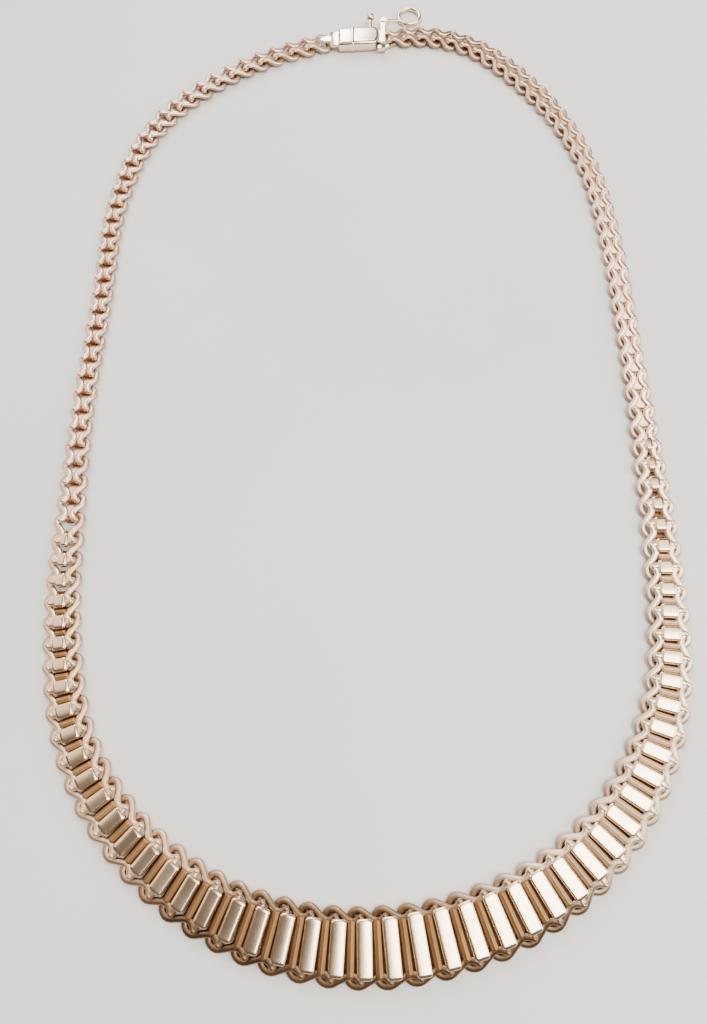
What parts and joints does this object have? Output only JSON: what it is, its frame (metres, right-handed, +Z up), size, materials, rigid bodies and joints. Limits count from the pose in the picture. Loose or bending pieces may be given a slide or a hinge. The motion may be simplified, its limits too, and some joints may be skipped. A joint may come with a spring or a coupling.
{
  "type": "collar necklace",
  "caption": "Graduated flat fancy-link collar of gold-coloured metal with ribbed cross bars, scalloped wire edges, a box clasp and a safety catch, lying flat.",
  "frame": {"origin": "middle of the flat necklace's outline, on the surface it lies on", "axes": "+Z up off the surface, +Y from the wide front of the collar to the clasp, +X to the right seen from above with the clasp away from the viewer"},
  "size_m": [0.0996, 0.1756, 0.0026],
  "materials": {
    "front_gold": "polished rose gold",
    "side_gold": "polished rose gold, a little worn",
    "clasp_gold": "polished gold",
    "catch_gold": "polished gold wire"
  },
  "bodies": {
    "root": {"link_left_19": "front_gold", "link_left_18": "front_gold", "link_left_17": "front_gold", "link_left_16": "front_gold", "link_left_15": "front_gold", "link_left_14": "front_gold", "link_left_13": "front_gold", "link_left_12": "front_gold", "link_left_11": "front_gold", "link_left_10": "front_gold", "link_left_09": "front_gold", "link_left_08": "front_gold", "link_left_07": "front_gold", "link_left_06": "front_gold", "link_left_05": "front_gold", "link_left_04": "front_gold", "link_left_03": "front_gold", "link_left_02": "front_gold", "link_left_01": "front_gold", "link_front": "front_gold", "link_right_01": "front_gold", "link_right_02": "front_gold", "link_right_03": "front_gold", "link_right_04": "front_gold", "link_right_05": "front_gold", "link_right_06": "front_gold", "link_right_07": "front_gold", "link_right_08": "front_gold", "link_right_09": "front_gold", "link_right_10": "front_gold", "link_right_11": "front_gold", "link_right_12": "front_gold", "link_right_13": "front_gold", "link_right_14": "front_gold", "link_right_15": "front_gold", "link_right_16": "front_gold", "link_right_17": "front_gold", "link_right_18": "front_gold", "link_right_19": "front_gold", "left_chain": "side_gold", "right_chain": "side_gold", "clasp_box": "clasp_gold", "clasp_tongue": "clasp_gold", "safety_catch": "catch_gold"}
  },
  "joints": []
}
